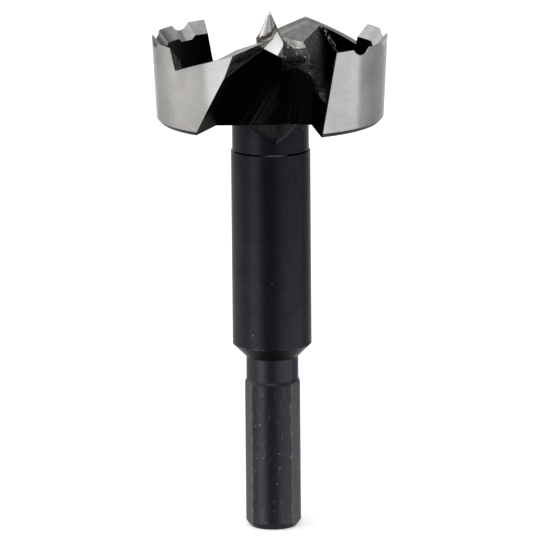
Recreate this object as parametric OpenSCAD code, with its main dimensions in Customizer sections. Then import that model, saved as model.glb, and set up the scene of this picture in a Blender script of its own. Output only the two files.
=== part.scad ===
// Forstner bit with a toothed rim: one solid of tool steel, turned, milled and ground.
// It stands on the end of its shank, with the point up and its turning axis on Z.
// Seen from the point it cuts counter-clockwise, as a right-hand drill does.

/* [Shank] */
// Diameter of the round shank
shank_d = 9.5; // [8:0.1:11]
// Length of the shank, from its end to the shoulder
shank_len = 25.4; // [20:0.1:32]
// Number of drive flats round the shank
flats = 3; // [2:1:4]
// Depth of the drive flats below the round
flat_depth = 0.155; // [0.08:0.005:0.16]
// Turn of the first drive flat about the axis
flat_turn = 86.8; // [60:0.1:120]
// Length of the chamfer at the shank's end
end_chamfer_len = 1; // [0.4:0.1:2]
// Depth of the chamfer at the shank's end
end_chamfer_depth = 0.75; // [0.3:0.05:1.2]

/* [Waist] */
// Diameter of the waist between shank and body
waist_d = 8.95; // [8:0.05:9.1]
// Length of the waist
waist_len = 3.9; // [2:0.1:8]
// Length of the small cone from shank to waist
shoulder_len = 0.6; // [0.3:0.1:1.5]

/* [Body] */
// Diameter of the body
body_d = 13.55; // [12:0.05:15]
// Length of the body's straight part
body_len = 33.7; // [20:0.1:60]
// Slope of the cone under the body, from the axis
body_cone_angle = 45; // [30:1:60]
// Diameter of the collar between body and head
collar_d = 13.1; // [11.5:0.05:13.5]
// Length of the collar, with the small step at its foot
collar_len = 5.2; // [4.5:0.1:9]

/* [Head] */
// Diameter that the rim cuts
head_d = 40; // [36:0.5:46]
// Height of the head, from its underside to the tips of the teeth
head_height = 14.4; // [12.5:0.1:17]
// Loss of the rim's radius from the teeth down to its lower edge
rim_relief = 0.7; // [0.2:0.05:1]
// Chamfer at the rim's lower edge
rim_chamfer = 0.75; // [0.3:0.05:1.2]
// Thickness of the rim at the teeth
rim_wall = 1.6; // [1.2:0.1:2.4]
// Thickness of the floor inside the rim
floor_thick = 5.3; // [4:0.1:7]

/* [Lips] */
// Plan angle between a lip and the floor of its flute
lip_angle = 67.5; // [60:0.5:74]
// Distance of each lip ahead of the axis
lip_ahead = 1.55; // [1:0.05:2.2]
// Lean of the rake face under the lip, from the axis
rake = 30; // [26:0.5:34]
// Plan turn of the rake face away from the lip, which widens the lip's facet outwards
rake_turn = 1.6; // [0:0.1:3]
// Lean of the narrow facet ground under the lip
lip_rake = 22.7; // [16:0.1:25]
// Height of that facet, at the axis
lip_facet = 0.4; // [0.2:0.1:1.2]
// Drop of the land behind the lip
clearance = 17.7; // [12:0.1:22]
// Distance from the axis to the heel behind the land, at the height of the lips
heel_reach = 3.85; // [3:0.05:5]
// Slope of the heel, from the level
heel_slope = 66; // [55:1:75]
// Plan turn of the heel away from the lip
heel_turn = 8; // [0:0.5:14]
// Distance from the axis to the inner side of each blade
blade_inner = 2.8; // [2:0.1:3.6]
// Depth by which the corner between heel and inner side is eased
corner_ease = 0.55; // [0.3:0.05:1.2]
// Distance from the axis to the small facet ground on that side, at the height of the lips
facet_inner = 2.53; // [2.2:0.01:2.7]
// Lean of that facet, from the axis
facet_lean = 13; // [8:1:20]
// Plan turn of that facet away from the blade's inner side
facet_turn = 12; // [4:1:20]

/* [Flutes] */
// Half thickness of the web, from the axis to the floor of each flute
web_half = 5.2; // [4.4:0.1:6]
// Distance from the axis to the web's side, on the head's underside
web_side = 1.12; // [0.6:0.02:2]
// Lean of the web's side, outwards to the top
web_side_lean = 5; // [0:0.5:8]
// Run of each flute down the collar, on the axis
flute_drop = 2.55; // [1:0.05:3.5]
// Distance from the axis to the chip ramp, on the head's underside
ramp_reach = 3.6; // [2.8:0.05:4.6]
// Lean of the chip ramp, from the axis
ramp_lean = 39.6; // [34:0.2:45]
// Plan turn of the chip ramp
ramp_turn = 13.4; // [5:0.2:20]
// Place of a wing's trailing end on the rim's lower edge
trail_place = 297; // [290:0.2:305]
// Plan direction of the wall at a wing's trailing end
trail_angle = 98; // [90:0.5:104]
// Lean of the wall at a wing's trailing end
trail_lean = 10.5; // [0:0.5:15]

/* [Teeth] */
// Drop of a tooth's bevel across the rim
bevel_drop = 2.15; // [1.2:0.05:3]
// Number of gullets between the teeth of one wing
gullets = 3; // [2:1:4]
// Place of the first gullet on the rim
gullet_place = 320.6; // [316:0.2:326]
// Spacing of the gullets round the rim
gullet_step = 26.2; // [22:0.2:30]
// Radius of a gullet
gullet_r = 3.4; // [2:0.1:5]
// Depth of a gullet below the bevel
gullet_depth = 0.62; // [0.3:0.02:0.9]
// Place of the end wall between the last tooth and the low rim behind the lip
gap_place = 33; // [28:0.5:42]
// Lean of that end wall, from the axis
gap_lean = 18; // [0:1:30]

/* [Point] */
// Height of the point above the teeth
point_height = 4.5; // [3:0.1:7]
// Half angle of the point
point_half_angle = 23.3; // [18:0.1:30]
// Slope of the gash ground beside the point
gash_slope = 43.5; // [38:0.5:48]
// Direction in which the gash falls
gash_turn = -56; // [-66:1:-48]
// Height at which the gash crosses the axis, above the lips
gash_rise = 2.32; // [1.8:0.02:2.8]
// Slope of the back of the ridge beside the gash, away from the line of the lip
ridge_fall = 23; // [18:1:28]
// Step from the gash up to the ridge's back, on the line of the lip
ridge_step = 0.03; // [0.02:0.01:0.08]
// Distance from the axis to the outer side of the gash
gash_side = 0.58; // [0.4:0.02:1]
// Diameter of the boss round the point from which the ridges are ground
boss_d = 5.8; // [5.6:0.1:6.4]

/* [Hidden] */

// Facets of a full round
round_facets = 120;
// Sides of the head that repeat about the axis
wings = [0, 180];
// Overlap of solids that are joined
lap = 1;
// Cut that a flute takes off the collar right under the head
flute_skim = 0.1;
// Steel between the point's foot and the web's sides
foot_skin = 0.02;
// Edge of the blocks that stand for a half space
big = 3 * head_d;

shank_r = shank_d / 2;
waist_r = waist_d / 2;
body_r = body_d / 2;
collar_r = collar_d / 2;
head_r = head_d / 2;

// Heights of the turned steps, from the shank's end
shoulder_z = shank_len;
waist_z = shoulder_z + shoulder_len;
cone_z = waist_z + waist_len;
body_z = cone_z + (body_r - waist_r) / tan(body_cone_angle);
step_z = body_z + body_len;
collar_z = step_z + (body_r - collar_r);
head_z = step_z + collar_len;

// Heights and radii of the head, from its underside
lip_z = head_height;
tip_z = lip_z + point_height;
rim_foot_r = head_r - rim_relief;
rim_inner_r = head_r - rim_wall;
bevel_foot_z = lip_z - bevel_drop;

// Angles and places that follow from the lip
back_turn = lip_angle - 90;
rake_ahead = lip_ahead + lip_facet * (tan(rake) - tan(lip_rake));
heel_face_turn = back_turn + heel_turn;
corner_turn = (heel_face_turn - 90) / 2;
corner_x = (heel_reach - blade_inner * sin(heel_face_turn)) / cos(heel_face_turn);
corner_reach = corner_x * cos(corner_turn) + blade_inner * sin(corner_turn) - corner_ease;
corner_lean = atan(cos(corner_turn) / (tan(heel_slope) * cos(heel_face_turn)));
slot_lean = atan(tan(rake) / sin(lip_angle));
gash_along = tan(gash_slope) * cos(gash_turn - lip_angle);
gash_ahead = tan(gash_slope) * cos(gash_turn - back_turn);
ridge_slope = atan(norm([tan(ridge_fall), gash_along]));
ridge_turn = back_turn + atan2(gash_along, -tan(ridge_fall));
ridge_rise = gash_rise + ridge_step - lip_ahead * (gash_ahead + tan(ridge_fall));
foot_z = lip_z - 2 * lap;
foot_r = web_side + foot_z * tan(web_side_lean) - foot_skin;
trail_turn = trail_angle - 90;
trail_reach = rim_foot_r * cos(trail_place - trail_turn);

// Everything beyond a steep plane that faces the direction turn.
// The plane lies at reach from the axis at height z and leans outwards to the top.
module beyond(turn, reach, lean, z) {
    translate([0, 0, z])
        rotate([0, 0, turn])
            translate([reach, 0, 0])
                rotate([0, lean, 0])
                    translate([0, -big / 2, -big / 2])
                        cube(big);
}

// Everything above a plane that crosses the axis at height z and falls towards turn.
module above(turn, slope, z) {
    translate([0, 0, z])
        rotate([0, 0, turn])
            rotate([0, slope, 0])
                translate([-big / 2, -big / 2, 0])
                    cube(big);
}

// Both wings of a shape that is drawn for one
module both_wings() {
    for (turn = wings)
        rotate([0, 0, turn])
            children();
}

// Space in front of the rake face and of the facet under the lip, on the side of the front flute
module ahead_of_front_lip() {
    beyond(back_turn + rake_turn, rake_ahead, rake, lip_z);
    beyond(back_turn, lip_ahead, lip_rake, lip_z);
}

// Half space on the flute's side of the chip ramp
module over_ramp() {
    beyond(-90 - ramp_turn, ramp_reach, -ramp_lean, 0);
}

// Half space over the front gash's facet
module over_gash() {
    above(gash_turn, gash_slope, lip_z + gash_rise);
}

// Shank, waist, body and collar as one turned profile
module turned_stem() {
    rotate_extrude($fn = round_facets)
        polygon([
            [0, 0],
            [shank_r - end_chamfer_depth, 0],
            [shank_r, end_chamfer_len],
            [shank_r, shoulder_z],
            [waist_r, waist_z],
            [waist_r, cone_z],
            [body_r, body_z],
            [body_r, step_z],
            [collar_r, collar_z],
            [collar_r, head_z + lap],
            [0, head_z + lap]
        ]);
}

// Drive flats round the shank, which run out over the shoulder
module drive_flats() {
    for (i = [0 : flats - 1])
        rotate([0, 0, flat_turn + i * 360 / flats])
            translate([shank_r - flat_depth, -shank_d, -lap])
                cube([shank_d, 2 * shank_d, waist_z + 2 * lap]);
}

// Floor and rim of the head as one turned cup
module cup() {
    rotate_extrude($fn = round_facets)
        polygon([
            [0, 0],
            [rim_foot_r - rim_chamfer, 0],
            [rim_foot_r, rim_chamfer],
            [head_r, lip_z],
            [rim_inner_r, lip_z],
            [rim_inner_r, floor_thick],
            [0, floor_thick]
        ]);
}

// Outer form of the head, without its hollow
module head_round() {
    rotate_extrude($fn = round_facets)
        polygon([
            [0, 0],
            [rim_foot_r - rim_chamfer, 0],
            [rim_foot_r, rim_chamfer],
            [head_r, lip_z],
            [0, lip_z]
        ]);
}

// Space of the front flute: a slot under the lip and a ramp that throws the chips outwards
module flute() {
    intersection() {
        ahead_of_front_lip();
        beyond(trail_turn + 180, -trail_reach, -trail_lean, rim_chamfer);
        union() {
            intersection() {
                beyond(-90, web_half, 0, 0);
                union() {
                    beyond(180, -web_side, -web_side_lean, 0);
                    over_ramp();
                }
                union() {
                    above(0, slot_lean, -flute_drop);
                    above(0, 0, -flute_skim);
                }
            }
            intersection() {
                over_ramp();
                beyond(0, web_side, web_side_lean, 0);
            }
        }
    }
}

// Space over the bevel of the teeth on one wing, which ends at the low rim behind the lip
module over_bevel() {
    difference() {
        intersection() {
            rotate_extrude($fn = round_facets)
                polygon([
                    [head_r + rim_wall, lip_z + bevel_drop],
                    [rim_inner_r - rim_wall, lip_z + bevel_drop],
                    [rim_inner_r - rim_wall, bevel_foot_z - bevel_drop]
                ]);
            beyond(0, 0, 0, 0);
        }
        beyond(gap_place + 90, lap, -gap_lean, lip_z);
    }
}

// Gullets between the teeth of one wing, each a round groove down the bevel
module gullet_row() {
    bevel_angle = atan(bevel_drop / rim_wall);
    for (i = [0 : gullets - 1])
        rotate([0, 0, gullet_place + i * gullet_step])
            translate([head_r, 0, lip_z])
                rotate([0, 90 - bevel_angle, 0])
                    translate([gullet_depth - gullet_r, 0, 0])
                        cylinder(r = gullet_r, h = 4 * rim_wall, center = true, $fn = round_facets);
}

// One wing before its land is ground: the blade behind the lip and its half of the web
module blade() {
    difference() {
        union() {
            head_round();
            cylinder(d = boss_d, h = lip_z + gash_rise, $fn = round_facets);
        }
        beyond(heel_face_turn, heel_reach, heel_slope - 90, lip_z);
        intersection() {
            union() {
                beyond(-90, -blade_inner, 0, 0);
                beyond(facet_turn - 90, -facet_inner, -facet_lean, lip_z);
                beyond(corner_turn, corner_reach, -corner_lean, lip_z);
            }
            beyond(0, web_side, web_side_lean, 0);
            over_ramp();
        }
        intersection() {
            beyond(-90, lap, 0, 0);
            beyond(180, -web_side, -web_side_lean, 0);
        }
        rotate([0, 0, 180])
            intersection() {
                ahead_of_front_lip();
                union() {
                    beyond(-90, web_half, 0, 0);
                    beyond(0, web_side, web_side_lean, 0);
                }
            }
    }
}

// Ridge beside the front gash, on the boss round the point
module ridge() {
    difference() {
        intersection() {
            cylinder(d = boss_d, h = tip_z, $fn = round_facets);
            beyond(gash_turn, 0, 0, 0);
        }
        above(ridge_turn, ridge_slope, lip_z + ridge_rise);
    }
}

// Space over the land of one wing: it takes the blade's top and the low part of the rim
module over_land() {
    difference() {
        intersection() {
            above(back_turn, clearance, lip_z - lip_ahead * tan(clearance));
            union() {
                beyond(gap_place + 90, 0, -gap_lean, lip_z);
                intersection() {
                    cylinder(r = rim_inner_r - lap, h = tip_z, $fn = round_facets);
                    union() {
                        beyond(back_turn, -lip_ahead, 0, 0);
                        rotate([0, 0, 180])
                            over_gash();
                    }
                    union() {
                        beyond(lip_angle, 0, 0, 0);
                        beyond(gash_turn + 90, gash_side, 0, 0);
                    }
                }
            }
        }
        rotate([0, 0, 180])
            ridge();
    }
}

// Gash beside the point, ground into the web in front of one lip
module gash() {
    intersection() {
        union() {
            ahead_of_front_lip();
            beyond(back_turn, lip_ahead, 0, 0);
        }
        over_gash();
        cylinder(r = web_half + lap, h = tip_z, $fn = round_facets);
    }
}

// Cone that centres the bit, on a short round foot inside the web
module point() {
    cone_foot_z = tip_z - foot_r / tan(point_half_angle);
    rotate_extrude($fn = round_facets)
        polygon([
            [0, foot_z],
            [foot_r, foot_z],
            [foot_r, cone_foot_z],
            [0, tip_z]
        ]);
}

// Stem and cup with the flutes cut through both, and the teeth
module fluted_blank() {
    difference() {
        union() {
            translate([0, 0, -head_z])
                turned_stem();
            cup();
        }
        both_wings() {
            flute();
            over_bevel();
            gullet_row();
        }
    }
}

// Blank with its blades, ground behind the lips and beside the point
module ground_head() {
    difference() {
        union() {
            fluted_blank();
            both_wings()
                blade();
        }
        both_wings() {
            over_land();
            gash();
        }
    }
}

// The whole bit
module forstner_bit() {
    color("dimgray")
        difference() {
            translate([0, 0, head_z]) {
                ground_head();
                point();
            }
            drive_flats();
        }
}

forstner_bit();
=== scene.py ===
"""Looks of a forstner bit: black oxide stem and flutes, bright ground rim, teeth, lips and point.

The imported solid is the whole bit, so it stays as it is and gets one steel material.
That material tells the bit's surfaces apart by place and slope, in millimetres of its own frame.
"""

from __future__ import annotations

import logging
import math
from dataclasses import dataclass, field
from enum import Enum
from typing import Any, NamedTuple, Union

import bpy
from mathutils import Matrix, Vector


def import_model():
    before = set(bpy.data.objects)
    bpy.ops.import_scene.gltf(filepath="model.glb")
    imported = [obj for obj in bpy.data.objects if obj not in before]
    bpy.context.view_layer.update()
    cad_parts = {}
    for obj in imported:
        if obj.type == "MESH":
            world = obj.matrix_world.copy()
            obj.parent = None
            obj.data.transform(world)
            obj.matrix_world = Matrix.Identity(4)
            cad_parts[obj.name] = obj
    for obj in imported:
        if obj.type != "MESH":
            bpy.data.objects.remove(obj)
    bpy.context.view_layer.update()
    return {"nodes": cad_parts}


LOG = logging.getLogger("forstner_bit")
MM_PER_M = 1000.0
FULL_TURN = 360.0
TINT_PER_WARMTH = 0.02
WHITE = (1.0, 1.0, 1.0, 1.0)

Colour = tuple[float, float, float]
Number = Union[int, float]
Socket = bpy.types.NodeSocket
Value = Union["Signal", Number]


class Ray(Enum):
    """Kinds of ray that the backdrop answers, by their Light Path output."""

    CAMERA = "Is Camera Ray"
    GLOSSY = "Is Glossy Ray"
    TRANSMISSION = "Is Transmission Ray"


class Grain(Enum):
    """Ways in which a tool has left its lines, as stretch along X, Y and Z."""

    TURNED = (0.35, 0.35, 9.0)
    GROUND_RIM = (0.5, 0.5, 7.0)
    SCRATCHED = (5.0, 5.0, 0.45)
    BLASTED = (4.2, 4.2, 4.2)
    CHIPPED = (2.1, 2.1, 2.1)
    PITTED = (1.1, 1.1, 1.1)
    CLOUDY = (0.16, 0.16, 0.16)


class Edge(NamedTuple):
    """A soft step: the value at its middle and half its width."""

    middle: float
    soft: float

    def on(self, base: float) -> "Edge":
        """The same step, counted from a base."""
        return Edge(base + self.middle, self.soft)


class Spot(NamedTuple):
    """A value, how far a surface reaches to both sides of it, and half the width of its step."""

    middle: float
    reach: float
    soft: float


class Span(NamedTuple):
    """A stretch between two values, with half the width of its soft steps."""

    low: float
    high: float
    soft: float


class Patches(NamedTuple):
    """How noise leaves patches: its gain, then the step's middle and half its width."""

    gain: float
    middle: float
    soft: float


class Lines(NamedTuple):
    """How often lines follow each other across a face, and how often they change along it."""

    across: float
    along: float


class Scatter(NamedTuple):
    """Specks: the cells' size in millimetres, a speck's share of a cell, the share of the cells."""

    cell: float
    radius: float
    share: float


class Signal:
    """A number that varies over a surface, written as a Python value."""

    def __init__(self, graph: Graph, socket: Socket) -> None:
        """Wraps an output socket of a node in that graph."""
        self.graph = graph
        self.socket = socket

    def math(self, operation: str, *others: Value, swap: bool = False) -> Signal:
        """Adds one Math node.

        Args:
            operation: Blender's name of the operation.
            others: the further operands.
            swap: whether this signal is the second operand.

        Returns:
            The node's result.
        """
        terms = [self, *others]
        if swap:
            terms.reverse()
        node = self.graph.node("ShaderNodeMath", {"operation": operation}, dict(enumerate(terms)))
        return Signal(self.graph, node.outputs[0])

    def __add__(self, other: Value) -> Signal:
        """Sum."""
        return self.math("ADD", other)

    __radd__ = __add__

    def __sub__(self, other: Value) -> Signal:
        """Difference."""
        return self.math("SUBTRACT", other)

    def __rsub__(self, other: Number) -> Signal:
        """Difference from a number."""
        return self.math("SUBTRACT", other, swap=True)

    def __mul__(self, other: Value) -> Signal:
        """Product."""
        return self.math("MULTIPLY", other)

    __rmul__ = __mul__

    def __truediv__(self, other: Value) -> Signal:
        """Quotient."""
        return self.math("DIVIDE", other)

    def __rtruediv__(self, other: Number) -> Signal:
        """Quotient of a number."""
        return self.math("DIVIDE", other, swap=True)

    def __neg__(self) -> Signal:
        """Opposite."""
        return self * -1.0

    def __abs__(self) -> Signal:
        """Size without its sign."""
        return self.math("ABSOLUTE")

    def root(self) -> Signal:
        """Square root."""
        return self.math("SQRT")

    def sign(self) -> Signal:
        """Minus one, zero or one."""
        return self.math("SIGN")

    def largest(self, *others: Value) -> Signal:
        """Takes the largest of this and other values.

        Args:
            others: the values to compare with.

        Returns:
            The largest at each point.
        """
        result = self
        for other in others:
            result = result.math("MAXIMUM", other)
        return result

    def over(self, edge: Value, soft: float) -> Signal:
        """One above an edge and zero below it, with a soft step.

        Args:
            edge: the value at the middle of the step.
            soft: half the width of the step.

        Returns:
            A mask from zero to one.
        """
        node = self.graph.node(
            "ShaderNodeMapRange",
            {"interpolation_type": "SMOOTHSTEP"},
            {"Value": self, "From Min": edge - soft, "From Max": edge + soft},
        )
        return Signal(self.graph, node.outputs["Result"])

    def under(self, edge: Value, soft: float) -> Signal:
        """One below an edge and zero above it."""
        return 1.0 - self.over(edge, soft)

    def within(self, low: Number, high: Number, soft: float) -> Signal:
        """One between two edges and zero outside them."""
        return self.over(low, soft) * self.under(high, soft)

    def near(self, value: Value, reach: Value, soft: float) -> Signal:
        """One where this is within reach of a value, and zero elsewhere."""
        return abs(self - value).under(reach, soft)

    def patches(self, gain: float, edge: Value, soft: float) -> Signal:
        """One where this, made stronger by a gain, is above an edge, and zero elsewhere."""
        return (self * gain).over(edge, soft)


class Graph:
    """A node tree that is filled from Python."""

    noise_roughness: float = 0.55
    choice_soft: float = 0.005
    speck_soft: float = 0.3

    def __init__(self, tree: bpy.types.NodeTree) -> None:
        """Takes a node tree and empties it."""
        self.tree = tree
        self.tree.nodes.clear()

    def node(
        self,
        kind: str,
        settings: dict[str, Any] | None = None,
        values: dict[Any, Any] | None = None,
    ) -> bpy.types.Node:
        """Adds any node.

        Args:
            kind: Blender's type name of the node.
            settings: properties that are set first, with a ramp's stops under "stops".
            values: socket names or numbers, each with a value, a socket or a signal.

        Returns:
            The new node.
        """
        node = self.tree.nodes.new(kind)
        for name, value in (settings or {}).items():
            if name == "stops":
                self._set_stops(node.color_ramp, value)
            else:
                setattr(node, name, value)
        for name, value in (values or {}).items():
            if isinstance(value, Signal):
                self.tree.links.new(value.socket, node.inputs[name])
            elif isinstance(value, Socket):
                self.tree.links.new(value, node.inputs[name])
            else:
                node.inputs[name].default_value = value
        return node

    @staticmethod
    def _set_stops(ramp: bpy.types.ColorRamp, stops: list[tuple[float, Colour]]) -> None:
        """Gives a ramp its stops.

        Args:
            ramp: the ramp, with fewer stops than it needs.
            stops: places from zero to one and their colours, in order of place.
        """
        while len(ramp.elements) < len(stops):
            ramp.elements.new(1.0)
        for element, (place, colour) in zip(ramp.elements, stops):
            element.position = place
            element.color = (*colour, 1.0)

    def signal(self, node: bpy.types.Node, output: Union[str, int] = 0) -> Signal:
        """Wraps one output of a node."""
        return Signal(self, node.outputs[output])

    def split(self, vector: Socket) -> tuple[Signal, Signal, Signal]:
        """Takes a vector apart into X, Y and Z."""
        axes = self.node("ShaderNodeSeparateXYZ", {}, {0: vector})
        return tuple(Signal(self, axis) for axis in axes.outputs)

    def vector(self, x: Value, y: Value, z: Value) -> Socket:
        """Puts X, Y and Z together."""
        return self.node("ShaderNodeCombineXYZ", {}, {0: x, 1: y, 2: z}).outputs[0]

    def noise(self, vector: Socket, detail: float) -> Signal:
        """Soft noise about zero, from roughly minus one half to one half."""
        node = self.node(
            "ShaderNodeTexNoise",
            {},
            {"Vector": vector, "Scale": 1.0, "Detail": detail, "Roughness": self.noise_roughness},
        )
        return self.signal(node, "Fac") - 0.5

    def lines(self, across: Signal, along: Signal, lines: Lines, detail: float) -> Signal:
        """Noise about zero that runs in lines along a face."""
        return self.noise(self.vector(across * lines.across, along * lines.along, 0.0), detail)

    def specks(self, place: Socket, scatter: Scatter) -> Signal:
        """Small specks, in a share of the cells of a scattered pattern.

        Args:
            place: the place in millimetres.
            scatter: the specks' size and share.

        Returns:
            A mask, one on a speck.
        """
        node = self.node("ShaderNodeTexVoronoi", {}, {"Vector": place, "Scale": 1.0 / scatter.cell})
        parts = self.node("ShaderNodeSeparateColor", {}, {"Color": node.outputs["Color"]})
        chosen = self.signal(parts, "Red").under(scatter.share, self.choice_soft)
        size = self.signal(parts, "Green") * scatter.radius
        soft = self.speck_soft * scatter.radius
        return chosen * self.signal(node, "Distance").under(size, soft)

    def blend(
        self,
        share: Value,
        below: Union[Colour, Socket],
        above: Union[Colour, Socket],
        mode: str = "MIX",
    ) -> Socket:
        """Lays one colour over another.

        Args:
            share: how much of the upper colour shows.
            below: the lower colour.
            above: the upper colour.
            mode: Blender's name of the blend.

        Returns:
            The blended colour's socket.
        """
        lower, upper = (c if isinstance(c, Socket) else (*c, 1.0) for c in (below, above))
        settings = {"data_type": "RGBA", "blend_type": mode}
        # A Mix node's colours are its inputs 6 and 7 and its output 2.
        return self.node("ShaderNodeMix", settings, {0: share, 6: lower, 7: upper}).outputs[2]


@dataclass(frozen=True)
class Finish:
    """How one surface of the steel reflects: its colour as a metal and its roughness."""

    colour: Colour
    roughness: float


@dataclass(frozen=True)
class BitFinishes:
    """All the finishes that the bit shows, by the names of their masks; a few are lit or shaded
    copies that paint highlights, a reflection or shade.
    """

    stem: Finish = Finish((0.0288, 0.0290, 0.0346), 0.25)
    flute_oxide: Finish = Finish((0.0010, 0.0010, 0.0016), 0.45)
    pocket: Finish = Finish((0.0010, 0.0010, 0.0014), 1.0)
    tail: Finish = Finish((0.110, 0.108, 0.101), 0.90)
    flute_foot: Finish = Finish((0.0215, 0.0215, 0.0238), 0.42)
    flat: Finish = Finish((0.0760, 0.0755, 0.0800), 0.40)
    wear: Finish = Finish((0.150, 0.150, 0.152), 0.45)
    rim: Finish = Finish((0.584, 0.581, 0.577), 0.145)
    rim_foot: Finish = Finish((0.112, 0.111, 0.108), 0.40)
    tooth: Finish = Finish((0.365, 0.365, 0.36), 0.24)
    # A lit copy of the tooth finish: painted highlight on the teeth in one band round the rim.
    far_tooth_highlight: Finish = Finish((0.88, 0.87, 0.855), 0.34)
    land: Finish = Finish((0.182, 0.180, 0.171), 0.32)
    gash: Finish = Finish((0.80, 0.795, 0.785), 0.22)
    ridge: Finish = Finish((0.46, 0.445, 0.415), 0.34)
    point: Finish = Finish((0.62, 0.612, 0.602), 0.19)
    point_foot: Finish = Finish((0.165, 0.152, 0.134), 0.46)
    lip_facet: Finish = Finish((0.20, 0.197, 0.190), 0.50)
    # Painted highlight: a bright line along the lower edge of the lip facet.
    facet_line: Finish = Finish((0.60, 0.585, 0.56), 0.55)
    lip_end: Finish = Finish((0.46, 0.445, 0.415), 0.34)
    side_facet: Finish = Finish((0.60, 0.585, 0.555), 0.33)
    # Painted highlight: the eased corner at the outer end of the side facet, painted near white.
    bright_corner: Finish = Finish((0.96, 0.95, 0.93), 0.36)
    rough: Finish = Finish((0.125, 0.122, 0.115), 0.60)
    gash_corner: Finish = Finish((0.125, 0.122, 0.115), 0.60)
    # A darker copy of the rough finish: painted shade on the blade's inner side, the eased faces
    # and the top of the ramp.
    rough_in_shade: Finish = Finish((0.052, 0.051, 0.049), 0.55)
    end_wall: Finish = Finish((0.080, 0.078, 0.073), 0.50)
    # Painted reflection: brownish-grey light on the lower part of the rake wall near the rim.
    rake_reflection: Finish = Finish((0.105, 0.092, 0.078), 0.50)
    # Milling lines in the flutes; where they are strong, across the slot and by the crease, they
    # are painted sheen.
    streak: Finish = Finish((0.080, 0.080, 0.086), 0.45)
    burn: Finish = Finish((0.034, 0.025, 0.018), 0.50)
    # Bright bare metal of the chips, also the colour of the scratches, dust and the painted glints
    # and sparkles.
    chip: Finish = Finish((0.98, 0.97, 0.95), 0.75)


@dataclass(frozen=True)
class BitSizes:
    """Sizes of the bit that tell its surfaces apart, in millimetres and degrees."""

    shank_r: float = 4.75
    flat_depth: float = 0.155
    flat_turn: float = 86.8
    flats: int = 3
    shoulder_z: float = 25.4
    waist_z: float = 26.0
    body_z: float = 32.2
    step_z: float = 65.9
    collar_r: float = 6.55
    head_z: float = 71.1
    floor_z: float = 76.4
    ground_z: float = 81.0
    lip_z: float = 85.5
    rim_foot_r: float = 19.3
    rim_inner_r: float = 18.4
    blade_inner: float = 2.8
    web_half: float = 5.2
    lip_angle: float = 67.5
    lip_facet: float = 0.4
    lip_widening: float = 0.1755
    heel_turn: float = -14.5
    heel_reach: float = 3.85
    heel_run: float = 0.445
    ramp_turn: float = 13.4
    slot_lines: float = 58.6
    foot_r: float = 2.185


class FaceSlopes:
    """Upright part of the normal on the faces that are told apart by it."""

    ridge = Spot(0.829, 0.035, 0.01)
    gash = Spot(0.725, 0.03, 0.01)
    ramp = Spot(0.637, 0.03, 0.01)
    heel = Spot(0.407, 0.03, 0.01)
    end_wall = Spot(0.309, 0.035, 0.012)
    side_facet = Spot(0.225, 0.03, 0.012)
    lip_facet = Spot(-0.386, 0.045, 0.012)
    front_rake = Spot(-0.5, 0.045, 0.012)
    rake = Spot(-0.5, 0.05, 0.015)
    floor = Edge(0.97, 0.01)
    land = Edge(0.9, 0.02)
    rim_foot = Edge(-0.5, 0.05)
    tooth = Span(0.37, 0.9, 0.02)
    point = Span(-0.05, 0.45, 0.02)
    eased = Span(0.19, 0.34, 0.015)


class StemMarks:
    """What finds the stem's surfaces. Edges that are used on a size are counted from it."""

    top = Edge(0.02, 0.02)
    flute_inset = Edge(-0.06, 0.03)
    flute_start = Edge(0.4, 0.05)
    shank = Span(0.9, 25.8, 0.1)
    flat_face = Edge(-0.015, 0.008)
    flat_side = Edge(-0.06, 0.03)
    flat_edge = Edge(0.07, 0.06)
    body_corner = Edge(0.09, 0.06)
    edge_wear = Patches(4.0, 0.15, 0.4)
    corner_wear = Patches(4.0, 0.1, 0.5)
    wear_share = 0.75


class FluteMarks:
    """What finds the marks in the flutes, on the heels and in the pockets."""

    head_foot = Edge(0.05, 0.05)
    slot_facing = Edge(0.97, 0.01)
    slot_side = Edge(0.3, 0.1)
    slot_lines = Lines(2.8, 0.12)
    # The band across the slot where the lines are painted as sheen.
    slot_band = Spot(-39.4, 0.9, 2.2)
    slot_patches = Patches(2.6, 0.15, 0.8)
    slot_faint = 0.05
    streak_top = Edge(75.5, 5.5)
    # The strip by the crease where the ramp's lines are painted as sheen.
    crease = Spot(2.0, 1.2, 3.2)
    ramp_lines = Lines(4.6, 0.16)
    ramp_patches = Patches(2.6, 0.22, 0.5)
    ramp_faint, ramp_strong = 0.012, 0.2
    # Where the painted reflection on the rake wall lies.
    rake_reflection_top = Edge(74.4, 0.7)
    rake_reflection_start = Edge(15.6, 1.0)
    heel_start = Edge(3.2, 0.2)
    heel_facing = Edge(0.5, 0.1)
    heel_top, heel_taper = 84.3, 1.35
    # Past this end the heel face keeps the black of the flutes, as painted shade.
    heel_end = Edge(16.9, 2.2)
    ragged = 2.0
    inner_side = Edge(0.3, 0.05)
    inner_facing = Edge(-0.85, 0.05)
    eased_facing = Edge(-0.5, 0.1)
    eased_end = Edge(12.0, 0.5)
    arch_middle, arch_drop, arch_ragged = 4.1, 0.165, 3.0
    arch_top = Edge(80.1, 0.9)
    by_heel = Edge(-1.6, 1.2)
    by_heel_share = 0.45
    floor_level = Edge(0.2, 0.05)
    tail_width = Span(8.3, 9.2, 0.35)
    tail_length = Span(-12.4, -1.0, 2.0)
    tail_patches = Patches(4.0, 0.0, 0.5)
    wall_facing = Edge(-0.9, 0.03)
    wall_start = Edge(17.0, 0.3)
    chip_top, chip_lean = 83.97, 0.31
    chip_line = Spot(0.35, 0.35, 0.35)
    chip_patches = Patches(5.0, 0.14, 0.2)
    chip_height = Span(79.4, 84.4, 0.5)


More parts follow.
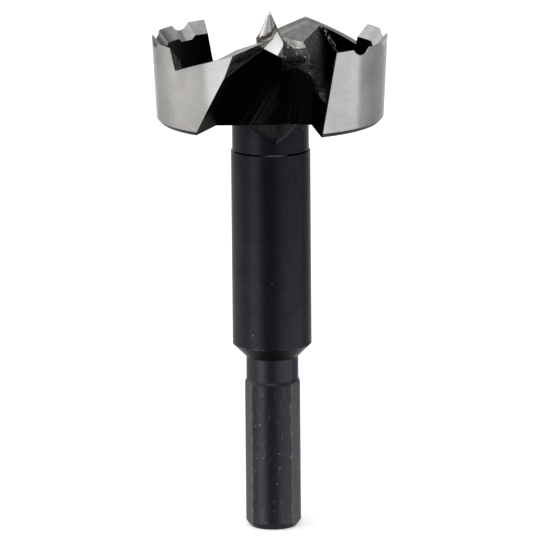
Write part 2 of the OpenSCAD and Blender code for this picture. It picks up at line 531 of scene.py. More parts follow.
class GroundMarks:
    """What finds the ground surfaces: rim, teeth, lips, gashes and point."""

    head_foot = Edge(0.02, 0.02)
    high = Edge(0.0, 0.1)
    rim_start = Edge(-0.4, 0.1)
    rim_facing = Edge(0.92, 0.02)
    foot_start = Edge(18.2, 0.1)
    foot_top = Edge(0.9, 0.05)
    end_wall_start = Edge(17.8, 0.1)
    tooth_start = Edge(-0.2, 0.1)
    # Where the teeth with the painted highlight lie.
    far_lean = 0.62
    far_band = Spot(0.0, 2.6, 1.8)
    # Where the painted highlight along the lip facet lies.
    facet_line = Spot(0.02, 0.13, 0.09)
    facet_start = Edge(5.0, 1.0)
    facet_line_share = 0.8
    lip_end = Edge(9.1, 0.1)
    lip_end_lean = 0.29
    side_facing = Edge(-0.5, 0.1)
    side_end = Edge(9.0, 0.3)
    side_foot = Edge(82.9, 0.25)
    facet_facing = Edge(-0.88, 0.03)
    # Where the painted highlight on the eased corner starts.
    corner_start = Edge(4.75, 0.22)
    inside = Edge(-0.3, 0.1)
    gash_x, gash_y = 0.9204, 0.3908
    gash_corner = Edge(3.265, 0.12)
    point_side = Edge(0.04, 0.02)
    point_facing = Edge(0.5, 0.1)
    point_tip = Edge(88.6, 0.2)
    burn_x, burn_y, burn_z = 0.66, 0.494, 86.95
    burn_ragged = 1.3
    burn_edge = Edge(0.0, 0.1)
    burn_wide = Spot(-0.3, 0.6, 0.7)
    burn_widening, burn_width = 0.18, 0.2
    burn_share = 0.92


class StemTones:
    """How much lighter or darker parts of the stem are than their finish, and where they lie:
    mostly painted light and shade, with the turned and pitted grain.
    """

    # Painted shade and light by height: darker up under the head, lighter further down the stem,
    # and more on the shank and the waist.
    climb_top, climb_rate, climb_start = 66.0, 0.0135, 0.2
    climb_end = Edge(0.0, 0.02)
    shank_top, shank = Edge(0.3, 0.2), 0.38
    waist_span, waist = Span(25.8, 29.9, 0.1), 0.62
    # Painted shade on the step ring, with a painted highlight across its front and back.
    ring_span, ring = Span(65.85, 66.15, 0.03), 0.65
    ring_middle, ring_light = Edge(2.5, 0.7), 0.7
    # Painted light on the sides of the cone under the body.
    cone_span = Span(29.9, 32.1, 0.05)
    cone_side, cone_light = Edge(4.3, 0.8), 1.4
    turned, pitted = 0.3, 0.5
    # Painted light on the flutes' foot: along its outer edge and on its steep side.
    foot_edge, foot_edge_light = Edge(6.28, 0.12), 0.8
    foot_side, foot_side_light = Edge(0.4, 0.1), 1.6
    foot_lines = 3.0
    # Painted light: the drive flat on the +X side is lighter.
    right_flat, right_flat_light = Edge(0.0, 1.0), 0.25


class HeadTones:
    """How much lighter or darker parts of the head are than their finish, and where they lie:
    painted light and shade, with the grain, lines and clouds of the steel.
    """

    cloud = 0.7
    rim_lines, tooth_lines, end_wall_lines = 0.30, 0.7, 4.0
    lip_pattern, lip_lines, facet_lines = Lines(2.6, 0.22), 2.2, 3.0
    cloud_pattern, lip_cloud = Lines(0.5, 0.3), 1.8
    # Painted highlight: a light band on the land along the outer part of the lip.
    band, band_light = Spot(0.2, 0.25, 0.5), 1.1
    band_length = Span(5.0, 17.8, 1.0)
    # Painted highlight along the land's edge where the heel drops away.
    heel_edge, heel_edge_light = Spot(-0.08, 0.07, 0.06), 0.9
    # Painted light: the side facet is lighter towards its outer end.
    facet_right, facet_light = Edge(4.1, 0.9), 0.55
    # Painted shade and light on the gash: darker as a whole, lighter towards one side and lower
    # down.
    gash, gash_top, gash_fall = 0.36, 85.4, 0.16
    gash_right, gash_light = Edge(-0.2, 1.5), 0.28
    # Painted light: the point's foot is lighter on the +X side.
    point_right, point_light = Edge(-0.5, 1.2), 0.9
    tail, blasted, pitted, chip = 4.0, 7.0, 2.6, 1.0
    # Painted shade: the heel darkens lower down.
    heel_foot, heel_foot_dark = Edge(80.8, 2.0), 0.8
    # Painted light on the top of the shaded rough steel.
    corner_top, corner_light = Edge(81.5, 0.8), 3.2
    # Painted shade: the shaded rough steel darkens lower down, at the ramp's foot.
    ramp_foot, ramp_foot_dark = Edge(80.2, 0.8), 0.55
    darkest = 0.12


class Specks:
    """Scratches, dust and painted glints: their patterns, places and strengths."""

    scratch_top, scratches, scratch = Edge(0.0, 0.3), Patches(4.0, 0.68, 0.25), 0.12
    dust_scatter, dust = Scatter(1.1, 0.13, 0.07), 0.35
    scuff_scatter, scuff = Scatter(0.6, 0.3, 0.24), 0.28
    scuff_top, scuff_patches = Edge(0.0, 1.0), Patches(4.0, 0.1, 0.4)
    # Painted glints and sparkles on the rough steel.
    glint_scatter, glint = Scatter(0.42, 0.45, 0.09), 0.3
    sparkle_scatter, sparkle = Scatter(0.5, 0.6, 0.34), 0.9
    sparkle_foot = Edge(81.2, 0.6)


class Relief:
    """Heights of the fine relief, how it shows, and the rounding of sharp edges in metres."""

    stem_lines, stem_grain = 0.10, 0.05
    rim_lines, land_grain = 0.035, 0.03
    rough, end_wall_share = 1.1, 0.5
    strength, depth = 0.6, 0.0004
    edge_radius, edge_samples = 0.00010, 6
    smear = 0.06


@dataclass
class Surface:
    """Where a point of the bit lies and how it faces, each value a signal.

    The wing's values are those of the point on the right wing that looks the same.
    The lip's values are the distances along the near lip and ahead of the axis,
    and which of the two lips is the near one, as minus one or one.
    """

    place: Socket
    x: Signal
    y: Signal
    z: Signal
    nz: Signal
    radius: Signal
    outward: Signal
    wing_x: Signal
    wing_y: Signal
    wing_nx: Signal
    wing_ny: Signal
    along_lip: Signal
    ahead: Signal
    lip_side: Signal

    def across_wing(self, degrees: float) -> Signal:
        """Distance from the axis in a direction that is turned from the wing's own."""
        turn = math.radians(degrees)
        return self.wing_x * math.cos(turn) + self.wing_y * math.sin(turn)

    @classmethod
    def read(cls, graph: Graph, sizes: BitSizes) -> Surface:
        """Reads the place in millimetres and the normal of the shaded point.

        Args:
            graph: the material's nodes.
            sizes: the bit's sizes.

        Returns:
            The point's values.
        """
        source = graph.node("ShaderNodeTexCoord")
        scaled = {0: source.outputs["Object"], "Scale": MM_PER_M}
        place = graph.node("ShaderNodeVectorMath", {"operation": "SCALE"}, scaled).outputs[0]
        x, y, z = graph.split(place)
        nx, ny, nz = graph.split(source.outputs["Normal"])
        radius = (x * x + y * y).root()
        side = x.sign()
        lip = math.radians(sizes.lip_angle)
        along = x * math.cos(lip) + y * math.sin(lip)
        across = x * math.sin(lip) - y * math.cos(lip)
        lip_side = along.sign()
        return cls(
            place=place,
            x=x,
            y=y,
            z=z,
            nz=nz,
            radius=radius,
            outward=(nx * x + ny * y) / radius,
            wing_x=abs(x),
            wing_y=y * side,
            wing_nx=nx * side,
            wing_ny=ny * side,
            along_lip=abs(along),
            ahead=-(across * lip_side),
            lip_side=lip_side,
        )


@dataclass
class SteelCoat:
    """The bit's one material, built from its finishes and the places where they lie.

    The graph, the shaded point and the masks by finish are there once it is being built.
    """

    sizes: BitSizes = field(default_factory=BitSizes)
    finishes: BitFinishes = field(default_factory=BitFinishes)
    name: str = "ground_and_blackened_steel"
    graph: Graph = field(init=False)
    at: Surface = field(init=False)
    masks: dict[str, Signal] = field(init=False)

    def build(self) -> bpy.types.Material:
        """Builds the material.

        Returns:
            The finished material.
        """
        material = bpy.data.materials.new(self.name)
        material.use_nodes = True
        self.graph = Graph(material.node_tree)
        self.at = Surface.read(self.graph, self.sizes)
        self.masks = {**self._stem_masks(), **self._flute_masks(), **self._ground_masks()}
        for name in self.masks:
            LOG.info("laid the finish %s", name)
        shader = self.graph.node(
            "ShaderNodeBsdfPrincipled",
            {},
            {
                "Base Color": self._colour(),
                "Metallic": 1.0,
                "Roughness": self._roughness(),
                "Normal": self._normal(),
            },
        )
        self.graph.node("ShaderNodeOutputMaterial", {}, {"Surface": shader.outputs[0]})
        return material

    def _grain(self, grain: Grain, detail: float) -> Signal:
        """Noise about zero at the shaded point, stretched as a tool has left it."""
        scaled = self.graph.node(
            "ShaderNodeVectorMath", {"operation": "MULTIPLY"}, {0: self.at.place, 1: grain.value}
        )
        return self.graph.noise(scaled.outputs[0], detail)

    def _heel_gap(self) -> Signal:
        """Distance of the shaded point outside the heel's sloping face, in millimetres."""
        reach = (self.sizes.lip_z - self.at.z) * self.sizes.heel_run + self.sizes.heel_reach
        return self.at.across_wing(self.sizes.heel_turn) - reach

    def _ramp_lines(self) -> Signal:
        """Lines that milling has left down the ramp, as noise about zero."""
        across = self.at.across_wing(-self.sizes.ramp_turn)
        return self.graph.lines(across, self.at.z, FluteMarks.ramp_lines, detail=4.0)

    def _stem_masks(self) -> dict[str, Signal]:
        """Finds the turned stem, its drive flats, its worn edges and the flutes' foot on it.

        Returns:
            The stem's masks by finish, the lower ones first.
        """
        at, size, mark = self.at, self.sizes, StemMarks
        below_head = at.z.under(*mark.top.on(size.head_z))
        fluted = at.radius.under(*mark.flute_inset.on(size.collar_r))
        fluted = fluted * at.z.over(*mark.flute_start.on(size.step_z))
        turns = [
            math.radians(size.flat_turn + i * FULL_TURN / size.flats) for i in range(size.flats)
        ]
        reach = [at.x * math.cos(turn) + at.y * math.sin(turn) for turn in turns]
        face = size.shank_r - size.flat_depth
        half_width = math.sqrt(size.shank_r**2 - face**2)
        on_shank = at.z.within(*mark.shank)
        flat = reach[0].largest(*reach[1:]).over(*mark.flat_face.on(face)) * on_shank
        edges = [
            gap.over(*mark.flat_side.on(face))
            * abs(at.y * math.cos(turn) - at.x * math.sin(turn)).near(half_width, *mark.flat_edge)
            for turn, gap in zip(turns, reach)
        ]
        rubbed = self._grain(Grain.PITTED, detail=4.0)
        edge = edges[0].largest(*edges[1:]) * on_shank * rubbed.patches(*mark.edge_wear)
        corner = at.z.near(size.body_z, *mark.body_corner) * rubbed.patches(*mark.corner_wear)
        return {
            "stem": below_head * (1.0 - fluted),
            "flat": flat,
            "wear": edge.largest(corner) * mark.wear_share,
            "flute_foot": below_head * fluted,
        }

    def _flute_masks(self) -> dict[str, Signal]:
        """Finds the marks that milling, blasting and chips have left in the flutes and pockets, and
        the painted sheen, reflection and shade there.

        Returns:
            The flutes' masks by finish, the lower ones first.
        """
        at, size, slope, mark = self.at, self.sizes, FaceSlopes, FluteMarks
        in_head = at.z.over(*mark.head_foot.on(size.head_z))
        ramp = at.nz.near(*slope.ramp) * in_head
        low = at.z.under(*mark.streak_top)

        turn = math.radians(size.slot_lines)
        slot_x = -(at.x * at.y.sign())
        across = slot_x * math.sin(turn) - at.z * math.cos(turn)
        often, seldom = mark.slot_lines
        pattern = self.graph.vector(across * often, slot_x * seldom, at.z * seldom)
        slot = abs(at.wing_ny).over(*mark.slot_facing) * in_head
        slot = slot * abs(at.wing_y).near(size.web_half, *mark.slot_side)
        slot_lines = self.graph.noise(pattern, detail=5.0).patches(*mark.slot_patches)
        # Milling lines, faint all over the slot and strong in a band across it, where they are
        # painted sheen.
        slot_share = slot * slot_lines * (mark.slot_faint + across.near(*mark.slot_band) * low)
        ramp_lines = self._ramp_lines().patches(*mark.ramp_patches)
        by_crease = at.wing_x.near(*mark.crease) * low * mark.ramp_strong
        # The ramp's milling lines, strong by the crease, where they are painted sheen.
        ramp_share = ramp * ramp_lines * (mark.ramp_faint + by_crease)
        # Painted reflection: brownish-grey light on the lower part of the rake wall, out near the
        # rim.
        rake_reflection = at.nz.near(*slope.rake) * in_head
        rake_reflection = rake_reflection * at.z.under(*mark.rake_reflection_top) * at.radius.over(*mark.rake_reflection_start)

        along = at.across_wing(size.heel_turn + FULL_TURN / 4)
        heel_gap = self._heel_gap()
        pits = self._grain(Grain.PITTED, detail=3.0)
        ragged = pits * mark.ragged
        on_heel = at.nz.near(*slope.heel) * at.radius.over(*mark.heel_start)
        on_heel = on_heel * at.wing_nx.over(*mark.heel_facing) * in_head
        # Past its end the heel face keeps the black of the flutes: painted shade.
        heel_end = mark.heel_end.middle - (mark.heel_top - at.z) * mark.heel_taper + ragged
        heel = on_heel * along.under(heel_end, mark.heel_end.soft)
        inner = at.wing_y.near(size.blade_inner, *mark.inner_side)
        inner = inner * at.wing_ny.under(*mark.inner_facing)
        eased = at.nz.within(*slope.eased) * at.wing_ny.under(*mark.eased_facing)
        eased = eased * at.radius.under(*mark.eased_end)
        off_middle = at.wing_x - mark.arch_middle
        arch = mark.arch_top.middle - off_middle * off_middle * mark.arch_drop
        ramp_top = ramp * at.z.over(arch + pits * mark.arch_ragged, mark.arch_top.soft)
        by_heel = ramp_top * heel_gap.over(mark.by_heel.middle + ragged, mark.by_heel.soft)

        on_floor = at.nz.over(*slope.floor) * at.z.near(size.floor_z, *mark.floor_level)
        tail = on_floor * at.wing_x.within(*mark.tail_width) * at.wing_y.within(*mark.tail_length)
        wall = at.outward.under(*mark.wall_facing) * at.radius.over(*mark.wall_start)
        # Bright chips, partly painted glints, along the line where the heel meets the rim's inner
        # wall.
        chip_gap = heel_gap - (mark.chip_top - at.z) * mark.chip_lean
        chip = wall * chip_gap.near(*mark.chip_line) * at.z.within(*mark.chip_height)
        chip = chip * self._grain(Grain.CHIPPED, detail=2.0).patches(*mark.chip_patches)
        return {
            "streak": slot_share.largest(ramp_share),
            "rake_reflection": rake_reflection,
            "pocket": on_floor,
            "tail": tail * pits.patches(*mark.tail_patches),
            # The darker copy of the rough finish here is painted shade.
            "rough_in_shade": inner.largest(eased, ramp_top) * in_head,
            "rough": heel.largest(by_heel * mark.by_heel_share) * in_head,
            "chip": chip,
        }

    def _ground_masks(self) -> dict[str, Signal]:
        """Finds the surfaces that are ground bright: rim, teeth, lips, gashes and point, and the
        highlights painted on some of them.

        Returns:
            The ground masks by finish, the lower ones first.
        """
        at, size, slope, mark = self.at, self.sizes, FaceSlopes, GroundMarks
        in_head = at.z.over(*mark.head_foot.on(size.head_z))
        high = at.z.over(*mark.high.on(size.ground_z))
        rim = at.radius.over(*mark.rim_start.on(size.rim_foot_r))
        rim = rim * at.outward.over(*mark.rim_facing)
        rim_foot = at.radius.over(*mark.foot_start) * at.nz.under(*slope.rim_foot)
        rim_foot = rim_foot * at.z.under(*mark.foot_top.on(size.head_z))
        end_wall = high * at.radius.over(*mark.end_wall_start) * at.nz.near(*slope.end_wall)
        tooth = high * at.radius.over(*mark.tooth_start.on(size.rim_inner_r))
        tooth = tooth * at.nz.within(*slope.tooth)
        # Painted highlight: the teeth in one band round the rim get the lit copy of the tooth
        # finish.
        far_tooth_highlight = tooth * (at.wing_y + at.wing_x * mark.far_lean).near(*mark.far_band)

        depth = size.lip_z - at.z
        facet = at.nz.near(*slope.lip_facet) * in_head
        front = facet.largest(at.nz.near(*slope.front_rake) * in_head)
        below_facet = depth - (at.along_lip * size.lip_widening + size.lip_facet)
        # Painted highlight: a bright line along the lower edge of the lip facet.
        line = front * below_facet.near(*mark.facet_line) * at.along_lip.over(*mark.facet_start)
        end_depth = (mark.lip_end.middle - at.along_lip) * mark.lip_end_lean
        lip_end = front * depth.under(end_depth, mark.lip_end.soft)
        beside_lip = at.wing_ny.under(*mark.side_facing) * at.radius.under(*mark.side_end)
        beside_lip = beside_lip * at.z.over(*mark.side_foot)
        side_facet = at.nz.near(*slope.side_facet) * at.wing_ny.under(*mark.facet_facing)
        # Painted highlight: the eased corner at the outer end of the side facet.
        bright_corner = at.nz.within(*slope.eased) * at.wing_x.over(*mark.corner_start)

        inside = high * at.radius.under(*mark.inside.on(size.rim_inner_r))
        gash = inside * at.nz.near(*slope.gash)
        gash_across = at.wing_x * mark.gash_x - at.wing_y * mark.gash_y
        gash_corner = gash_across.over(*mark.gash_corner)
        point = high * at.radius.under(*mark.point_side.on(size.foot_r))
        point = point * at.nz.within(*slope.point) * at.outward.over(*mark.point_facing)
        point = point.largest(at.z.over(*mark.point_tip))
        burn_z = at.x * mark.burn_x + at.y * mark.burn_y + mark.burn_z
        over_burn = at.z - burn_z + self._grain(Grain.PITTED, detail=4.0) * mark.burn_ragged
        width = at.x.near(*mark.burn_wide) * mark.burn_widening + mark.burn_width
        burn = point * over_burn.near(mark.burn_edge.middle, width, mark.burn_edge.soft)
        return {
            "rim_foot": rim_foot,
            "rim": rim,
            "end_wall": end_wall,
            "tooth": tooth,
            "far_tooth_highlight": far_tooth_highlight,
            "land": high * at.nz.over(*slope.land),
            "lip_facet": facet,
            "facet_line": line * mark.facet_line_share,
            "lip_end": lip_end,
            "side_facet": beside_lip * side_facet,
            "bright_corner": beside_lip * bright_corner,
            "ridge": inside * at.nz.near(*slope.ridge),
            "gash": gash * (1.0 - gash_corner),
            "gash_corner": gash * gash_corner,
            "point": point,
            "point_foot": point * over_burn.under(*mark.burn_edge),
            "burn": burn * mark.burn_share,
        }

    def _colour(self) -> Socket:
        """Lays the finishes' colours over each other, with their lines, clouds and specks and the
        painted light, shade and glints.

        Returns:
            The colour's socket.
        """
        graph = self.graph
        colour: Union[Colour, Socket] = self.finishes.flute_oxide.colour
        for name, mask in self.masks.items():
            colour = graph.blend(mask, colour, getattr(self.finishes, name).colour)
        shade = (1.0 + self._stem_tone() + self._head_tone()).largest(HeadTones.darkest)
        grey = graph.node("ShaderNodeCombineColor", {}, {0: shade, 1: shade, 2: shade}).outputs[0]
        colour = graph.blend(1.0, colour, grey, "MULTIPLY")
        return graph.blend(self._specks(), colour, self.finishes.chip.colour)

    def _plain(self) -> Signal:
        """Mask of all but the small facets beside the lip."""
        return (1.0 - self.masks["side_facet"]) * (1.0 - self.masks["bright_corner"])

    def _stem_tone(self) -> Signal:
        """Paints light and shade onto parts of the stem, with its turned and pitted grain and the
        lines of the flutes' foot.

        Returns:
            What is added to a tone of one.
        """
        at, size, masks, tone = self.at, self.sizes, self.masks, StemTones
        stem, foot = masks["stem"], masks["flute_foot"]
        # Painted shade and light by height: darker up under the head, lighter further down.
        climb = (tone.climb_top - at.z) * tone.climb_rate - tone.climb_start
        ring = stem * at.z.within(*tone.ring_span)
        cone = stem * at.z.within(*tone.cone_span)
        return (
            # Painted shade and light along the stem by height, with more light on the shank and the
            # waist.
            stem * climb * at.z.under(*tone.climb_end.on(size.head_z))
            + stem * at.z.under(*tone.shank_top.on(size.shoulder_z)) * tone.shank
            + stem * at.z.within(*tone.waist_span) * tone.waist
            # Painted shade on the step ring, and a painted highlight across its front and back.
            - ring * tone.ring
            + ring * abs(at.x).under(*tone.ring_middle) * tone.ring_light
            # Painted light on the sides of the cone under the body.
            + cone * abs(at.x).over(*tone.cone_side) * tone.cone_light
            + stem * self._grain(Grain.TURNED, detail=3.0) * tone.turned
            + stem * self._grain(Grain.PITTED, detail=3.0) * tone.pitted
            # Painted light on the flutes' foot: along its outer edge and on its steep side.
            + foot * at.radius.over(*tone.foot_edge) * tone.foot_edge_light
            + foot * at.nz.under(*tone.foot_side) * tone.foot_side_light
            + foot * self._ramp_lines() * tone.foot_lines
            # Painted light: the drive flat on the +X side is lighter.
            + masks["flat"] * at.x.over(*tone.right_flat) * tone.right_flat_light
        )

    def _head_tone(self) -> Signal:
        """Paints light and shade onto parts of the head, with the grain, lines and clouds of its
        steel.

        Returns:
            What is added to a tone of one.
        """
        at, masks, tone, plain = self.at, self.masks, HeadTones, self._plain()
        land, rough_in_shade = masks["land"], masks["rough_in_shade"]
        rough = masks["rough"].largest(masks["gash_corner"], rough_in_shade) * plain
        on_lip = land.largest(masks["lip_facet"], masks["side_facet"])
        rim_lines = self._grain(Grain.GROUND_RIM, detail=4.0)
        blasted = self._grain(Grain.BLASTED, detail=4.0)
        pitted = self._grain(Grain.PITTED, detail=3.0)
        lip_lines = self.graph.lines(at.ahead, at.along_lip, tone.lip_pattern, detail=4.0)
        lip_cloud = self.graph.lines(at.ahead, at.along_lip, tone.cloud_pattern, detail=2.0)
        # Painted highlight: a light band on the land along the outer part of the lip.
        band = land * at.ahead.near(*tone.band) * at.along_lip.within(*tone.band_length)
        # Painted shade and light on the gash: lighter towards one side and lower down.
        gash_light = (-(at.x * at.lip_side)).over(*tone.gash_right) * tone.gash_light
        gash_low = (tone.gash_top - at.z) * tone.gash_fall
        return (
            self._grain(Grain.CLOUDY, detail=3.0) * tone.cloud
            + rim_lines * masks["rim"] * tone.rim_lines
            + rim_lines * masks["tooth"] * tone.tooth_lines
            + self._grain(Grain.SCRATCHED, detail=3.0) * masks["end_wall"] * tone.end_wall_lines
            # Painted light: the point's foot is lighter on the +X side.
            + masks["point_foot"] * at.x.over(*tone.point_right) * tone.point_light
            + lip_lines * on_lip * tone.lip_lines
            + lip_cloud * on_lip * tone.lip_cloud
            + lip_lines * masks["lip_facet"] * tone.facet_lines
            # Painted highlight on the land along the lip.
            + band * tone.band_light
            # Painted highlight along the land's edge where the heel drops away.
            + land * self._heel_gap().near(*tone.heel_edge) * tone.heel_edge_light
            # Painted light: the side facet is lighter towards its outer end.
            + masks["side_facet"] * at.wing_x.over(*tone.facet_right) * tone.facet_light
            # Painted shade and light on the gash.
            - masks["gash"] * (tone.gash - gash_light - gash_low)
            + blasted * masks["tail"] * tone.tail
            + blasted * rough * tone.blasted
            + pitted * rough * tone.pitted
            + pitted * masks["chip"] * tone.chip
            # Painted shade: the heel darkens lower down.
            - masks["rough"] * at.z.under(*tone.heel_foot) * tone.heel_foot_dark
            # Painted light on the top of the shaded rough steel.
            + rough_in_shade * plain * at.z.over(*tone.corner_top) * tone.corner_light
            # Painted shade: the shaded rough steel darkens lower down, at the ramp's foot.
            - rough_in_shade * at.z.under(*tone.ramp_foot) * tone.ramp_foot_dark
        )

    def _specks(self) -> Signal:
        """Scatters scratches and dust over the stem and painted glints over the rough steel.

        Returns:
            The share of bright metal that shows.
        """
        at, size, masks, graph = self.at, self.sizes, self.masks, self.graph
        speck, stem, plain = Specks, masks["stem"], self._plain()
        scratch = stem * at.z.under(*speck.scratch_top.on(size.shoulder_z))
        scratch = scratch * self._grain(Grain.SCRATCHED, detail=3.0).patches(*speck.scratches)
        dust = graph.specks(at.place, speck.dust_scatter) * stem
        scuff = graph.specks(at.place, speck.scuff_scatter) * stem
        scuff = scuff * at.z.under(*speck.scuff_top.on(size.waist_z))
        scuff = scuff * self._grain(Grain.PITTED, detail=3.0).patches(*speck.scuff_patches)
        # Painted glints and sparkles on the rough steel.
        glint = graph.specks(at.place, speck.glint_scatter) * masks["rough"] * plain
        sparkle = graph.specks(at.place, speck.sparkle_scatter) * masks["rough_in_shade"] * plain
        sparkle = sparkle * at.z.over(*speck.sparkle_foot)
        return (scratch * speck.scratch).largest(
            dust * speck.dust, scuff * speck.scuff, glint * speck.glint, sparkle * speck.sparkle
        )

    def _roughness(self) -> Signal:
        """Mixes the finishes' roughness, a little uneven.

        Returns:
            The roughness.
        """
        level: Value = self.finishes.flute_oxide.roughness
        for name, mask in self.masks.items():
            level = level + mask * (getattr(self.finishes, name).roughness - level)
        return level + self._grain(Grain.GROUND_RIM, detail=3.0) * Relief.smear

    def _normal(self) -> Socket:
        """Rounds the edges a little and adds the fine relief of each finish.

        Returns:
            The normal's socket.
        """
        masks, use = self.masks, Relief
        rounded = self.graph.node(
            "ShaderNodeBevel", {"samples": use.edge_samples}, {"Radius": use.edge_radius}
        )
        blasted = self._grain(Grain.BLASTED, detail=4.0)
        end_wall = masks["end_wall"] * use.end_wall_share
        rough = masks["rough"].largest(
            masks["gash_corner"], masks["chip"], masks["rough_in_shade"], end_wall
        )
        height = (
            self._grain(Grain.TURNED, detail=2.0) * masks["stem"] * use.stem_lines
            + self._grain(Grain.GROUND_RIM, detail=2.0) * masks["rim"] * use.rim_lines
            + blasted * rough * use.rough
            + blasted * masks["stem"] * use.stem_grain
            + blasted * masks["land"] * use.land_grain
        )
        values = {"Strength": use.strength, "Distance": use.depth, "Height": height}
        values["Normal"] = rounded.outputs[0]
        return self.graph.node("ShaderNodeBump", {}, values).outputs[0]


@dataclass
class ForstnerBit:
    """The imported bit, one piece of steel on the root body."""

    node: bpy.types.Object
    coat: SteelCoat = field(default_factory=SteelCoat)

    def dress(self) -> None:
        """Puts the steel into the bit's material slots."""
        material = self.coat.build()
        for slot in self.node.material_slots:
            slot.material = material


@dataclass
class PhotoCamera:
    """The camera at the photograph's angle."""

    target_mm: tuple[float, float, float] = (-0.27, 0.0, 44.86)
    distance: float = 1.0
    elevation: float = 12.41
    roll: float = -0.485
    focal_px: float = 5846.1
    frame_px: float = 540.0
    sensor_mm: float = 36.0
    clip_start: float = 0.05
    clip_end: float = 20.0

    def build(self) -> None:
        """Adds the camera and makes it the scene's own."""
        tilt = math.radians(self.elevation)
        target = Vector(self.target_mm) / MM_PER_M
        place = target + self.distance * Vector((0.0, -math.cos(tilt), math.sin(tilt)))
        aim = (target - place).to_track_quat("-Z", "Y").to_matrix().to_4x4()
        bpy.ops.object.camera_add(location=place)
        camera = bpy.context.object
        camera.name = "photo_camera"
        camera.matrix_world = (
            Matrix.Translation(place) @ aim @ Matrix.Rotation(math.radians(self.roll), 4, "Z")
        )
        camera.data.sensor_width = self.sensor_mm
        camera.data.lens = self.focal_px / self.frame_px * self.sensor_mm
        camera.data.clip_start = self.clip_start
        camera.data.clip_end = self.clip_end
        bpy.context.scene.camera = camera


@dataclass(frozen=True)
class Panel:
    """One place on the tent's ramp: its direction from the bit, its tone and its warmth."""

    angle: float
    tone: float
    warmth: float = 0.0

    def colour(self, top: float) -> Colour:
        """Colour of the panel, as a share of the brightest tone."""
        share, tint = self.tone / top, TINT_PER_WARMTH * self.warmth
        return (share * (1.0 + tint), share, share * (1.0 - tint))


LOW_PANELS: tuple[Panel, ...] = (
    Panel(-180.0, 0.80),
    Panel(-165.0, 0.62),
    Panel(-150.0, 0.46, 1.3),
    Panel(-128.0, 0.58, 1.3),
    Panel(-112.0, 0.78, 1.3),
    Panel(-88.0, 0.72, 1.3),
    Panel(-70.0, 0.66, 1.3),
    Panel(-64.5, 1.12, -0.8),
    Panel(-42.0, 1.22, -0.8),
    Panel(-33.0, 0.60),
    Panel(-20.0, 0.29, -1.0),
    Panel(4.0, 0.24, -1.0),
    Panel(18.0, 0.40, -1.0),
    Panel(30.0, 0.66, -0.5),
    Panel(60.0, 0.84, -0.5),
    Panel(98.0, 0.86, -0.5),
    Panel(103.0, 0.46),
    Panel(125.0, 0.34, 0.5),
    Panel(150.0, 0.40),
    Panel(168.0, 0.62),
    Panel(180.0, 0.80),
)

HIGH_PANELS: tuple[Panel, ...] = (
    Panel(-180.0, 0.80),
    Panel(-150.0, 0.98),
    Panel(-105.0, 1.00),
    Panel(-84.0, 0.84),
    Panel(-60.0, 0.60),
    Panel(-42.0, 0.36),
    Panel(-26.0, 0.25),
    Panel(40.0, 0.25),
    Panel(64.0, 0.28),
    Panel(80.0, 0.60),
    Panel(92.0, 0.58),
    Panel(103.0, 0.20),
    Panel(138.0, 0.20),
    Panel(156.0, 0.52),
    Panel(168.0, 0.62),
    Panel(180.0, 0.80),
)


@dataclass(frozen=True)
class Softbox:
    """A square lamp that looks at the bit, in metres and watts."""

    name: str
    place: tuple[float, float, float]
    size: float
    power: float
    aim: tuple[float, float, float] = (0.0, 0.0, 0.05)

    def build(self) -> None:
        """Adds the lamp."""
        bpy.ops.object.light_add(type="AREA", location=self.place)
        lamp = bpy.context.object
        lamp.name = self.name
        lamp.data.size = self.size
        lamp.data.energy = self.power
        lamp.visible_camera = False
        aim = Vector(self.aim) - Vector(self.place)
        lamp.rotation_euler = aim.to_track_quat("-Z", "Y").to_euler()


SOFTBOXES: tuple[Softbox, ...] = (
    Softbox("top_softbox", (-0.25, -0.35, 1.5), 1.8, 12.0),
    Softbox("left_softbox", (-1.28, 0.46, 0.8), 1.5, 2.5),
)


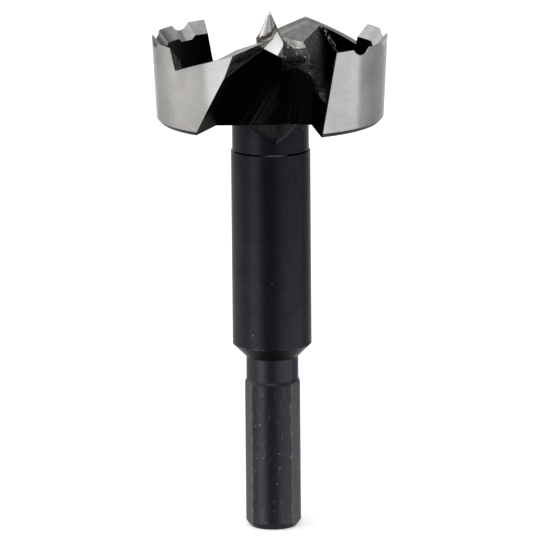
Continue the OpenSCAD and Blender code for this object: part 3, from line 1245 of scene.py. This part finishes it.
@dataclass
class Studio:
    """Pale floor, soft light and the grey tent that the steel mirrors, in metres."""

    floor_size: float = 12.0
    floor_colour: Colour = (0.90, 0.90, 0.90)
    floor_glow: float = 0.42
    world_light: float = 0.55
    tent_radius: float = 2.2
    tent_sides: int = 96
    tent_low: float = -1.6
    tent_high: float = 1.9
    tent_split: Edge = Edge(0.42, 0.12)
    tent_floor: Edge = Edge(0.02, 0.01)
    tent_floor_tone: float = 0.32

    def build(self) -> None:
        """Builds floor, tent, lamps and world."""
        self._floor()
        LOG.info("laid the floor")
        self._tent()
        LOG.info("put up the tent")
        for softbox in SOFTBOXES:
            softbox.build()
        self._world()
        LOG.info("set the lamps and the surroundings")

    def _floor(self) -> None:
        """Lays the pale floor, which keeps the shadow."""
        bpy.ops.object.select_all(action="DESELECT")
        bpy.ops.mesh.primitive_plane_add(size=self.floor_size)
        floor = bpy.context.object
        floor.name = "floor"
        material = bpy.data.materials.new("pale_floor")
        material.use_nodes = True
        graph = Graph(material.node_tree)
        to_camera = graph.node("ShaderNodeLightPath").outputs[Ray.CAMERA.value]
        matt = graph.node("ShaderNodeBsdfDiffuse", {}, {"Color": (*self.floor_colour, 1.0)})
        glow = graph.node("ShaderNodeEmission", {}, {"Strength": self.floor_glow})
        seen = graph.node("ShaderNodeAddShader", {}, {0: matt.outputs[0], 1: glow.outputs[0]})
        shaders = {0: to_camera, 1: matt.outputs[0], 2: seen.outputs[0]}
        both = graph.node("ShaderNodeMixShader", {}, shaders)
        graph.node("ShaderNodeOutputMaterial", {}, {"Surface": both.outputs[0]})
        floor.data.materials.append(material)
        floor.visible_glossy = False

    def _tent(self) -> None:
        """Puts a tent of grey and white panels round the bit, which only the steel sees."""
        bpy.ops.object.select_all(action="DESELECT")
        height = self.tent_high - self.tent_low
        bpy.ops.mesh.primitive_cylinder_add(
            vertices=self.tent_sides,
            radius=self.tent_radius,
            depth=height,
            end_fill_type="NOTHING",
            location=(0.0, 0.0, self.tent_low + height / 2),
        )
        tent = bpy.context.object
        tent.name = "studio_tent"
        bpy.ops.object.mode_set(mode="EDIT")
        bpy.ops.mesh.select_mode(type="VERT")
        bpy.ops.mesh.select_all(action="DESELECT")
        bpy.ops.object.mode_set(mode="OBJECT")
        for vertex in tent.data.vertices:
            vertex.select = vertex.co.z < 0.0
        bpy.ops.object.mode_set(mode="EDIT")
        bpy.ops.mesh.select_mode(type="EDGE")
        bpy.ops.mesh.edge_face_add()
        bpy.ops.object.mode_set(mode="OBJECT")
        bpy.ops.object.transform_apply(location=True, rotation=True, scale=True)
        tent.data.materials.append(self._panels())
        tent.visible_camera = False
        tent.visible_diffuse = False
        tent.visible_shadow = False
        tent.visible_transmission = False

    @staticmethod
    def _wall(graph: Graph, turn: Signal, panels: tuple[Panel, ...]) -> Socket:
        """Lights one height of the tent by the direction from the bit.

        Args:
            graph: the material's nodes.
            turn: the direction, from zero to one.
            panels: the tones, in order of direction.

        Returns:
            The shader's socket.
        """
        top = max(panel.tone for panel in panels)
        stops = [(panel.angle / FULL_TURN + 0.5, panel.colour(top)) for panel in panels]
        ramp = graph.node("ShaderNodeValToRGB", {"stops": stops}, {"Fac": turn})
        light = {"Color": ramp.outputs[0], "Strength": top}
        return graph.node("ShaderNodeEmission", {}, light).outputs[0]

    def _panels(self) -> bpy.types.Material:
        """Colours the tent's panels by their direction from the bit.

        Returns:
            The panels' material.
        """
        material = bpy.data.materials.new("tent_panels")
        material.use_nodes = True
        graph = Graph(material.node_tree)
        x, y, z = graph.split(graph.node("ShaderNodeTexCoord").outputs["Object"])
        turn = x.math("ARCTAN2", -y) / math.tau + 0.5
        low = self._wall(graph, turn, LOW_PANELS)
        high = self._wall(graph, turn, HIGH_PANELS)
        above = z.over(*self.tent_split)
        wall = graph.node("ShaderNodeMixShader", {}, {0: above, 1: low, 2: high})
        ground = graph.node("ShaderNodeEmission", {}, {"Strength": self.tent_floor_tone})
        on_ground = z.under(*self.tent_floor.on(self.tent_low))
        shaders = {0: on_ground, 1: wall.outputs[0], 2: ground.outputs[0]}
        both = graph.node("ShaderNodeMixShader", {}, shaders)
        graph.node("ShaderNodeOutputMaterial", {}, {"Surface": both.outputs[0]})
        return material

    def _world(self) -> None:
        """Makes the surroundings white to camera, steel and glass and a plain light to the rest."""
        world = bpy.data.worlds.new("white_surroundings")
        bpy.context.scene.world = world
        world.use_nodes = True
        graph = Graph(world.node_tree)
        path = graph.node("ShaderNodeLightPath")
        camera, *others = (graph.signal(path, ray.value) for ray in Ray)
        seen = camera.largest(*others)
        plain, white = (
            graph.node("ShaderNodeBackground", {}, {"Color": WHITE, "Strength": glow}).outputs[0]
            for glow in (self.world_light, 1.0)
        )
        sky = graph.node("ShaderNodeMixShader", {}, {0: seen, 1: plain, 2: white})
        graph.node("ShaderNodeOutputWorld", {}, {"Surface": sky.outputs[0]})


def main() -> None:
    """Loads the bit, dresses it and sets the scene."""
    logging.basicConfig(level=logging.INFO, format="%(name)s: %(message)s")
    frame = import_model()
    for name, node in frame["nodes"].items():
        ForstnerBit(node).dress()
        LOG.info("dressed %s with ground and blackened steel", name)
    PhotoCamera().build()
    LOG.info("placed the camera at the photograph's angle")
    Studio().build()
    LOG.info("built floor, tent, lamps and surroundings")
    bpy.context.scene.view_settings.view_transform = "Standard"


if __name__ == "__main__":
    main()
